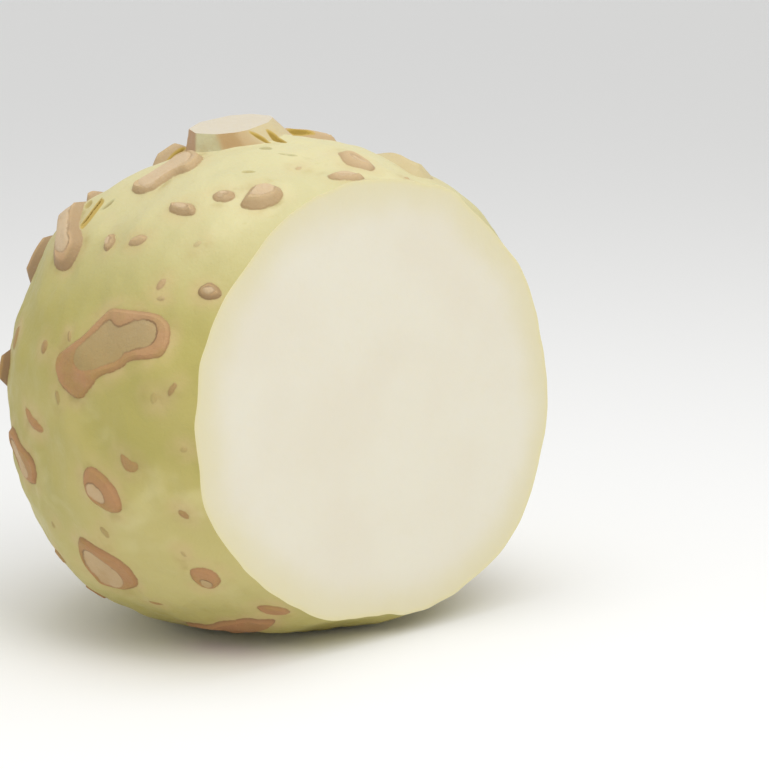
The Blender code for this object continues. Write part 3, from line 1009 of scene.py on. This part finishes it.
def skin_colour(s, scar):
    """Healthy skin in olive, cream and tan patches, browner beside the scars. It is paler low on the flank
    by painted light, darker in a belt above by painted shade, and paler towards the top, partly by painted
    light from above.
    """
    height = s.height()
    skin = s.mix(s.ramp(s.noise(30, 2, 0.5, 2, 0.4), 0.40, 0.62), MID_SKIN, OLIVE_SKIN)
    skin = s.mix(s.ramp(s.noise(20, 3, 0.55, 3, 0.5), 0.50, 0.72, 0, 0.75), skin, PALE_SKIN)
    skin = s.mix(s.ramp(s.noise(16, 3, 0.6, 4, 0.6), 0.55, 0.75, 0, 0.45), skin, TAN_SKIN)
    # Painted light: paler low on the flank, standing in for light thrown up from the floor.
    skin = s.mix(s.ramp(height, 14, 50, 0.40, 0), skin, PALE_SKIN)
    skin = s.mix(s.ramp(height, 4, 20, 0.75, 0), skin, OLIVE_SKIN)
    # Painted shade: a darker olive belt round the flank's middle height.
    painted_shade_belt = s.times(s.ramp(height, 52, 66, 0, 0.75), s.ramp(height, 84, 104, 1, 0))
    skin = s.mix(painted_shade_belt, skin, OLIVE_SKIN)
    # Paler towards the top: partly the skin's own paler colour, partly painted light from above.
    skin = s.mix(s.ramp(height, 70, 112, 0, 0.62), skin, PALE_AND_LIT_TOP_SKIN)
    streaks = s.ramp(s.noise(5, 4, 0.65, 5, 0.8), 0.58, 0.80, 0, 0.30)
    skin = s.mix(streaks, skin, OLIVE_SKIN)
    pores = s.ramp(s.noise(0.9, 2, 0.5, 6), 0.66, 0.78, 0, 0.22)
    skin = s.mix(pores, skin, TAN_SKIN)
    halo = s.times(s.ramp(scar, -4.5, 0.0), s.ramp(s.noise(7, 2, 0.5, 7), 0.35, 0.65, 0.10, 0.65))
    halo = s.times(halo, s.ramp(height, 70, 108, 1, 0.45))
    skin = s.mix(halo, skin, HALO)
    # Darker olive-brown patches beside the scars.
    dark_patch_share = s.times(s.ramp(scar, -3.6, -0.2), s.ramp(s.noise(6, 3, 0.5, 17), 0.52, 0.70, 0, 0.5))
    return s.mix(dark_patch_share, skin, DARK_OLIVE_PATCH)


def bark_colour(s, tone):
    """The bark of a scar, with its tan or cream core and painted shade in the groove round the core. Scars
    near the crown are paler, partly by painted light from above.
    """
    height = s.height()
    # How near the crown: there scars turn paler, partly in their own colour and partly by painted light from
    # above.
    high = s.ramp(height, 60, 110)
    patch = s.ramp(s.noise(5.5, 2, 0.5, 8, 0.5), 0.38, 0.62)
    bark = s.mix(patch, BROWN_SCAR, PINK_SCAR)
    olive = s.math("MULTIPLY", s.math("SUBTRACT", 1.0, tone), 0.75, True)
    bark = s.mix(olive, bark, OLIVE_SCAR)
    bark = s.mix(s.ramp(s.noise(2.2, 4, 0.6, 9), 0.45, 0.75, 0, 0.35), bark, RUSSET_SCAR)
    bark = s.mix(s.times(high, 0.75), bark, PALE_AND_LIT_TOP_SCAR)
    bark = s.mix(s.ramp(height, 3, 16, 0.65, 0.0), bark, RUSSET_SCAR)
    steep = s.mix(high, DARK_SCAR, PALE_AND_LIT_TOP_SIDE)
    bark = s.mix(s.ramp(s.attribute("side"), 0.05, 0.40, 0, 0.75), bark, steep)

    core = s.math("ADD", s.attribute("core"), s.spread(s.noise(1.4, 3, 0.6, 16), 0.9))
    centre = s.mix(s.attribute("pale"), TAN_CORE, CREAM_CORE)
    centre = s.mix(s.times(high, 0.8), centre, PALE_AND_LIT_TOP_CORE)
    centre = s.mix(s.ramp(s.noise(3.5, 3, 0.6, 10), 0.45, 0.75, 0, 0.25), centre, BROWN_SCAR)
    bark = s.mix(s.ramp(core, -0.12, 0.12), bark, centre)
    # Painted shade in the groove round a core, stronger on one side.
    line = s.ramp(s.math("ABSOLUTE", core), 0.08, 0.34, 1, 0)
    drawn = s.times(s.ramp(s.noise(4.5, 2, 0.5, 18), 0.36, 0.58, 0.5, 1), s.attribute("upper"))
    bark = s.mix(s.times(line, drawn), bark, s.mix(high, DARK_SCAR, LIT_TOP_GROOVE_SHADE))
    # Paler still towards the top: partly the scars' own colour, partly painted light from above.
    return s.mix(s.ramp(height, 72, 114, 0, 0.65), bark, PALE_AND_LIT_TOP_SCAR)


def make_skin():
    """The skin's material, with its scars, the crown's sides and the slits."""
    s = Shader("celeriac_skin")
    scar = s.math("ADD", s.attribute("scar"), s.spread(s.noise(1.6, 3, 0.6, 1), 0.7))
    slit = s.attribute("slit")
    tone = s.attribute("tone")

    solid = s.math("ADD", 1.0, s.math("MINIMUM", tone, 0.0))
    colour = s.mix(s.times(s.ramp(scar, -0.14, 0.14), solid), skin_colour(s, scar), bark_colour(s, tone))
    # Painted shade: a faint dark line in the crease along a scar's outline, where it rises from the skin.
    foot = s.ramp(s.math("ABSOLUTE", scar), 0.0, 0.45, 0.07, 0.0)
    colour = s.mix(s.times(foot, solid), colour, DARK_SCAR)
    browned = s.ramp(s.noise(4, 3, 0.6, 11), 0.45, 0.75, 0, 0.25)
    stump = s.mix(browned, s.attribute("stump_colour", "Color"), TAN_SKIN)
    colour = s.mix(s.ramp(s.attribute("stump"), -0.1, 0.1), colour, stump)
    gold = s.mix(s.attribute("gold"), GREY_SLIT, GOLD_SLIT)
    deep = s.math("MULTIPLY", s.ramp(slit, 0.0, 0.45), s.attribute("dark"), True)
    colour = s.mix(s.ramp(slit, -0.3, 0.15), colour, s.mix(deep, gold, DARK_SLIT))
    s.put(s.principled.inputs["Base Color"], colour)

    dull = s.ramp(s.noise(3, 3, 0.6, 12), 0.3, 0.7, 0.46, 0.62)
    dull = s.math("ADD", dull, s.ramp(slit, -0.3, 0.1, 0, 0.30))
    dull = s.math("ADD", dull, s.ramp(scar, -0.2, 0.2, 0, 0.10), True)
    s.soften(dull, 0.08, (1.0, 0.7, 0.35), 2.0)
    grain = s.bump(s.noise(0.8, 3, 0.6, 13), 0.10)
    lumps = s.bump(s.noise(3.5, 3, 0.55, 14), 0.22, grain)
    cracks = s.times(s.noise(1.1, 5, 0.65, 15, 0.5), s.ramp(scar, -0.1, 0.4))
    s.put(s.principled.inputs["Normal"], s.bump(cracks, 0.22, lumps))
    return s.material


def make_flesh():
    """The cut flesh, yellower towards the skin. The crown's is a little darker."""
    s = Shader("celeriac_flesh")
    rim = s.attribute("rim")
    wavy = s.math("ADD", rim, s.spread(s.noise(14, 2, 0.5, 21), 6))
    colour = s.mix(s.ramp(s.noise(26, 2, 0.5, 22, 0.3), 0.35, 0.68), FLESH_CENTRE, FLESH_WARM)
    colour = s.mix(s.ramp(wavy, 0.0, 11.0, 0.9, 0.0), colour, FLESH_RIM)
    colour = s.mix(s.ramp(rim, 0.0, 1.3, 0.55, 0.0), colour, RIM_LINE)
    colour = s.mix(s.ramp(s.height(), 105, 108), colour, CROWN_FLESH)
    fibres = s.ramp(s.noise(1.6, 4, 0.6, 23), 0.45, 0.80, 0, 0.10)
    s.put(s.principled.inputs["Base Color"], s.mix(fibres, colour, FLESH_RIM))

    dull = s.ramp(s.noise(2.4, 3, 0.6, 24), 0.3, 0.7, 0.42, 0.56)
    s.soften(dull, 0.2, (1.0, 0.85, 0.55), 3.0)
    grain = s.bump(s.noise(0.7, 3, 0.6, 25), 0.05)
    s.put(s.principled.inputs["Normal"], s.bump(s.noise(7, 2, 0.5, 26), 0.12, grain))
    return s.material


# ----------------------------------------
# The studio

VIEW_AZIMUTH = 46.5
VIEW_HEIGHT = 10.5
VIEW_DISTANCE = 600
AIM_ACROSS = 23.7  # from the globe's centre to the middle of the picture
AIM_UP = 2.2
LENS = 123.2
NEAREST_SEEN = 0.01
WORLD_STRENGTH = 0.74
FLOOR_COLOUR = (0.90, 0.90, 0.89)
FLOOR_ROUGHNESS = 0.9
FLOOR_REACH = 4000


def back_from(azimuth, height):
    """The direction from the object to a viewer. Azimuth 0 looks along +Y and 90 along -X."""
    a = math.radians(azimuth)
    b = math.radians(height)
    return Vector((math.sin(a) * math.cos(b), -math.cos(a) * math.cos(b), math.sin(b)))


def aim(thing, target):
    """Turns a camera or light to face a place."""
    thing.rotation_euler = (Vector(target) - thing.location).to_track_quat("-Z", "Y").to_euler()


def make_camera():
    """The camera, which looks a little down on the cut face and the scarred flank."""
    back = back_from(VIEW_AZIMUTH, VIEW_HEIGHT)
    right = Vector((0, 0, 1)).cross(back).normalized()
    up = back.cross(right)
    target = Vector((0, 0, CENTRE_HEIGHT)) + AIM_ACROSS * right + AIM_UP * up
    camera = bpy.data.objects.new("camera", bpy.data.cameras.new("camera"))
    camera.data.lens = LENS
    camera.data.clip_start = NEAREST_SEEN
    camera.location = (target + VIEW_DISTANCE * back) * SCALE
    bpy.context.scene.collection.objects.link(camera)
    aim(camera, target * SCALE)
    bpy.context.scene.camera = camera


def make_light(name, azimuth, height, distance, size, power):
    """A square area light that faces the root from the direction named, as a viewer there would."""
    light = bpy.data.objects.new(name, bpy.data.lights.new(name, "AREA"))
    light.data.size = size * SCALE
    light.data.energy = power
    middle = Vector((0, 0, CENTRE_HEIGHT))
    light.location = (middle + distance * back_from(azimuth, height)) * SCALE
    bpy.context.scene.collection.objects.link(light)
    aim(light, middle * SCALE)


def make_floor():
    """A wide pale floor at the height of the resting spot."""
    mesh = bmesh.new()
    bmesh.ops.create_grid(mesh, x_segments=8, y_segments=8, size=FLOOR_REACH * SCALE)
    data = bpy.data.meshes.new("floor")
    mesh.to_mesh(data)
    mesh.free()
    floor = bpy.data.objects.new("floor", data)
    floor.location.z = BASE * SCALE
    bpy.context.scene.collection.objects.link(floor)
    material = bpy.data.materials.new("studio_floor")
    material.use_nodes = True
    shader = material.node_tree.nodes["Principled BSDF"]
    shader.inputs["Base Color"].default_value = (*FLOOR_COLOUR, 1)
    shader.inputs["Roughness"].default_value = FLOOR_ROUGHNESS
    data.materials.append(material)


def make_world():
    """Even white light from all round."""
    world = bpy.data.worlds.new("studio")
    world.use_nodes = True
    background = world.node_tree.nodes["Background"]
    background.inputs["Color"].default_value = (1, 1, 1, 1)
    background.inputs["Strength"].default_value = WORLD_STRENGTH
    bpy.context.scene.world = world


# ----------------------------------------

make_camera()
make_world()
make_floor()
bpy.context.scene.view_settings.view_transform = "Standard"
make_light("key", 80, 46, 700, 420, 1.5)
make_light("top", 30, 80, 700, 500, 1.4)

root = make_root(all_scars())
root.data.materials.append(make_skin())
root.data.materials.append(make_flesh())
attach(root, "root")
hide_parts(NODE)
